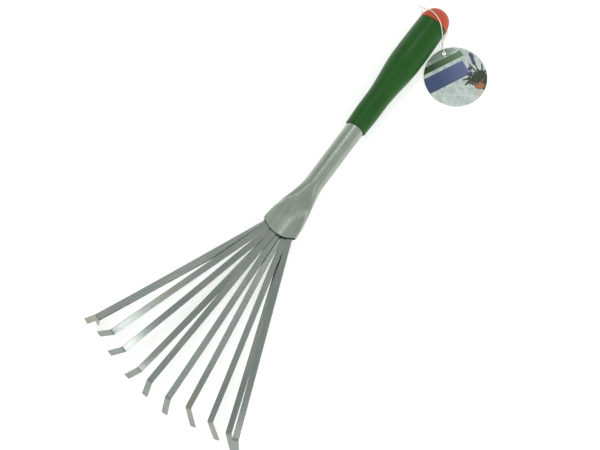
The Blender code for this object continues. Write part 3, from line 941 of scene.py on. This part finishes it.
def make_knot(finish):
    """An overhand knot with its two cut ends, a little frayed."""
    loop = []
    for step in range(KNOT_STEPS + 1):
        t = 2.0 * math.pi * step / KNOT_STEPS
        x = math.sin(t) + 2.0 * math.sin(2.0 * t)
        y = math.cos(t) - 2.0 * math.cos(2.0 * t)
        loop.append(KNOT_CENTRE + Vector((-math.sin(3.0 * t), x, y)) * KNOT_SIZE)
    strands = [twisted_rings(loop, KNOT_THREAD_RADIUS, KNOT_TWIST_PITCH)]
    for number, direction in enumerate(KNOT_TAIL_DIRECTIONS):
        tip = direction.normalized() * KNOT_TAIL_LENGTH
        bow = Vector((0.5, 0.0, -0.35)) * MM * (1.0 if number else -1.0)
        points = []
        for share in (0.1, 0.4, 0.7, 1.0):
            points.append(KNOT_CENTRE + tip * share + bow * math.sin(math.pi * share))
        tail = smooth_route(points, KNOT_TAIL_SPACING)
        strands.append(twisted_rings(tail, KNOT_TAIL_RADIUS, STRING_TWIST_PITCH))
        for fibre in range(3):
            turn = 2.1 * fibre
            spread = Vector((math.cos(turn), 0.2, math.sin(turn))) * WISP_SPREAD
            end = points[-1] + tip.normalized() * WISP_LENGTH + spread
            wisp = smooth_route([points[-1] - tip * 0.05, points[-1], end], KNOT_TAIL_SPACING)
            strands.append(twisted_rings(wisp, WISP_RADIUS, 1.0))
    bm = bmesh.new()
    for rings in strands:
        strand = skin("strand", rings)
        bm.from_mesh(strand)
        bpy.data.meshes.remove(strand)
    mesh = bpy.data.meshes.new("thread_knot")
    bm.to_mesh(mesh)
    bm.free()
    return add_piece("thread_knot", mesh, finish, "rake", ["string_knot"])


# ---------------------------------------------------------------- stage


def make_camera():
    level = math.cos(CAMERA_ELEVATION)
    back = Vector(
        (
            math.sin(CAMERA_AZIMUTH) * level,
            -math.cos(CAMERA_AZIMUTH) * level,
            math.sin(CAMERA_ELEVATION),
        )
    )
    data = bpy.data.cameras.new("camera")
    data.lens = CAMERA_LENS
    data.sensor_width = 36.0
    data.clip_start = 0.05
    camera = bpy.data.objects.new("camera", data)
    camera.location = CAMERA_TARGET + back * CAMERA_DISTANCE
    camera.rotation_euler = (-back).to_track_quat("-Z", "Y").to_euler()
    bpy.context.scene.collection.objects.link(camera)
    bpy.context.scene.camera = camera


def soft_box(name, location, size, radiance):
    """A rectangular light that faces the rake, as bright all over as its radiance says."""
    data = bpy.data.lights.new(name, "AREA")
    data.shape = "RECTANGLE"
    data.size, data.size_y = size
    data.energy = radiance * math.pi * size[0] * size[1]
    light = bpy.data.objects.new(name, data)
    light.location = location
    toward = (light.location - CAMERA_TARGET).normalized()
    light.rotation_euler = toward.to_track_quat("Z", "Y").to_euler()
    bpy.context.scene.collection.objects.link(light)


def make_lights():
    """Soft lights, each where one part of the steel or the grip mirrors it toward the camera."""
    soft_box("tube_light", (0.56, -0.10, 1.45), (0.36, 0.07), 3.0)
    soft_box("grip_light", (0.78, 0.36, 1.40), (0.38, 0.16), 8.0)
    soft_box("prong_light", (0.30, 0.50, 1.39), (0.12, 0.10), 4.5)
    soft_box("end_light", (0.0, 0.70, 1.29), (0.08, 0.12), 7.0)
    soft_box("low_light", (-0.22, -1.03, 1.04), (0.80, 0.26), 5.6)


def make_world():
    """A pale room, a little brighter near the horizon than overhead."""
    world = bpy.data.worlds.new("studio")
    world.use_nodes = True
    nodes = world.node_tree.nodes
    links = world.node_tree.links
    place = nodes.new("ShaderNodeTexCoord")
    split = nodes.new("ShaderNodeSeparateXYZ")
    ramp = nodes.new("ShaderNodeValToRGB")
    links.new(place.outputs["Generated"], split.inputs["Vector"])
    links.new(split.outputs["Z"], ramp.inputs["Fac"])
    links.new(ramp.outputs["Color"], nodes["Background"].inputs["Color"])
    ramp.color_ramp.elements[0].position = 0.0
    ramp.color_ramp.elements[0].color = (0.98, 1.0, 0.99, 1.0)
    ramp.color_ramp.elements[1].position = 0.55
    ramp.color_ramp.elements[1].color = (0.67, 0.70, 0.68, 1.0)
    nodes["Background"].inputs["Strength"].default_value = 1.0
    bpy.context.scene.world = world


def make_floor():
    """A wide white sweep."""
    bm = bmesh.new()
    bmesh.ops.create_grid(bm, x_segments=1, y_segments=1, size=FLOOR_HALF_WIDTH)
    mesh = bpy.data.meshes.new("floor")
    bm.to_mesh(mesh)
    bm.free()
    mesh.materials.append(plain_floor("pale_floor"))
    floor = bpy.data.objects.new("floor", mesh)
    floor.location.z = -FLOOR_GAP
    bpy.context.scene.collection.objects.link(floor)


def make_stage():
    make_world()
    make_floor()
    make_lights()
    bpy.context.scene.view_settings.view_transform = "Standard"


def main():
    for obj in list(bpy.data.objects):
        bpy.data.objects.remove(obj)
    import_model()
    make_camera()

    white_string = thread("white_string")
    string, path = make_string(white_string)
    knot = make_knot(white_string)
    tag = make_hang_tag(printed_card("printed_card"))

    make_grip(moulded_plastic("green_plastic", (0.010, 0.080, 0.007), (0.013, 0.094, 0.009), 0.33))
    make_end_cap(moulded_plastic("red_plastic", (0.49, 0.066, 0.026), (0.56, 0.086, 0.036), 0.40))
    make_fan_socket(drawn_steel("socket_steel", (0.30, 0.335, 0.29), (0.385, 0.42, 0.37), 0.25))
    spring_steel = strip_steel("spring_steel", (0.235, 0.26, 0.245), (0.32, 0.345, 0.325), 0.26)
    for number, prong in enumerate(PRONGS, start=1):
        make_prong(number, prong, spring_steel)
    make_stage()


main()
